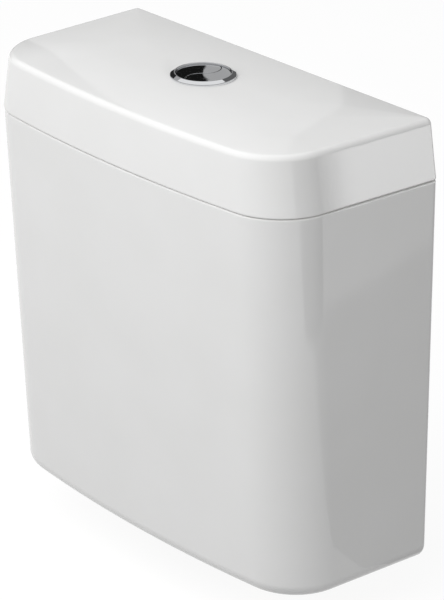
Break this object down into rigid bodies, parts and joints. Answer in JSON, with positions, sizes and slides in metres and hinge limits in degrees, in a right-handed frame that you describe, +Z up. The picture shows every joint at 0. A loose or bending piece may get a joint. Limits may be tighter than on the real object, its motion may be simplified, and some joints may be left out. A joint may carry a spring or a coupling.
{
  "type": "toilet cistern",
  "caption": "Close-coupled ceramic toilet cistern with a deep lift-off lid, round chrome dual-flush button, lever-lifted flush valve and bottom-entry float fill valve.",
  "frame": {"origin": "centre of the outlet on the plane of the tank's underside", "axes": "+Z up, front towards -Y, flat rear face towards +Y, right end towards +X"},
  "size_m": [0.384, 0.1779, 0.4416],
  "materials": {
    "glazed_china": "white gloss glaze",
    "chrome": "polished chrome plating on plastic",
    "white_plastic": "moulded satin",
    "grey_plastic": "moulded satin",
    "blue_plastic": "moulded satin",
    "black_rubber": "matte",
    "red_rubber": "matte",
    "steel": "drawn",
    "zinc": "zinc plated"
  },
  "bodies": {
    "tank_body": {"tank": "glazed_china", "valve_base": "white_plastic", "base_seal": "black_rubber", "valve_backnut": "white_plastic", "pan_doughnut": "black_rubber", "valve_housing": "grey_plastic", "lever_pin": "steel", "fill_stem": "white_plastic", "stem_washer": "black_rubber", "stem_backnut": "white_plastic", "inlet_filter": "blue_plastic", "fill_head": "white_plastic", "fill_diaphragm": "red_rubber", "fill_cap": "blue_plastic", "arm_pin": "steel", "fixing_bolts": "zinc", "bolt_cone_washers": "black_rubber", "bolt_steel_washers": "zinc", "bolt_nuts": "zinc"},
    "lid_body": {"lid": "glazed_china", "button_bezel": "chrome", "bezel_nut": "white_plastic", "button_guide": "white_plastic", "full_button_spring": "steel", "half_button_spring": "steel"},
    "full_button_body": {"full_flush_button": "chrome", "full_push_rod": "grey_plastic"},
    "half_button_body": {"half_flush_button": "chrome", "half_push_rod": "grey_plastic"},
    "full_lever_body": {"full_lever": "blue_plastic"},
    "half_lever_body": {"half_lever": "white_plastic"},
    "half_strap_body": {"half_lift_strap": "white_plastic"},
    "riser_body": {"overflow_riser": "white_plastic", "flush_seal": "red_rubber", "seal_retainer": "blue_plastic", "flush_float": "white_plastic", "full_lift_strap": "blue_plastic"},
    "float_body": {"fill_float": "grey_plastic", "float_link": "steel"},
    "arm_body": {"float_arm": "grey_plastic"}
  },
  "joints": [
    {"name": "lid_lift", "type": "slide", "parent": "tank_body", "child": "lid_body", "axis": [0, 0, 1], "range_m": [0, 0.15]},
    {"name": "full_press", "type": "slide", "parent": "lid_body", "child": "full_button_body", "axis": [0, 0, -1], "range_m": [0, 0.006], "stiffness_N_per_m": 400, "springref_m": -0.004, "deforming": ["full_button_spring"]},
    {"name": "half_press", "type": "slide", "parent": "lid_body", "child": "half_button_body", "axis": [0, 0, -1], "range_m": [0, 0.006], "stiffness_N_per_m": 400, "springref_m": -0.004, "deforming": ["half_button_spring"]},
    {"name": "full_lever_turn", "type": "hinge", "parent": "tank_body", "child": "full_lever_body", "pos_m": [0, 0.005, 0.28729], "axis": [0, -1, 0], "range_deg": [0, 25.4]},
    {"name": "half_lever_turn", "type": "hinge", "parent": "tank_body", "child": "half_lever_body", "pos_m": [0, -0.005, 0.28729], "axis": [0, 1, 0], "range_deg": [0, 25.4]},
    {"name": "half_lift", "type": "slide", "parent": "tank_body", "child": "half_strap_body", "axis": [0, 0, 1], "range_m": [0, 0.01115]},
    {"name": "valve_lift", "type": "slide", "parent": "half_strap_body", "child": "riser_body", "axis": [0, 0, 1], "range_m": [0, 0.01115]},
    {"name": "float_rise", "type": "slide", "parent": "tank_body", "child": "float_body", "axis": [0, 0, 1], "range_m": [0, 0.01]},
    {"name": "arm_swing", "type": "hinge", "parent": "tank_body", "child": "arm_body", "pos_m": [-0.116, 0, 0.251], "axis": [0, -1, 0], "range_deg": [0, 24.6]}
  ],
  "couplings": [
    {"joint": "full_lever_turn", "follows": "full_press", "rad_per_m": 73.818},
    {"joint": "half_lever_turn", "follows": "half_press", "rad_per_m": 73.818},
    {"joint": "valve_lift", "follows": "full_press", "ratio": 1.8571},
    {"joint": "half_lift", "follows": "half_press", "ratio": 1.8571},
    {"joint": "arm_swing", "follows": "float_rise", "rad_per_m": 42.881}
  ]
}
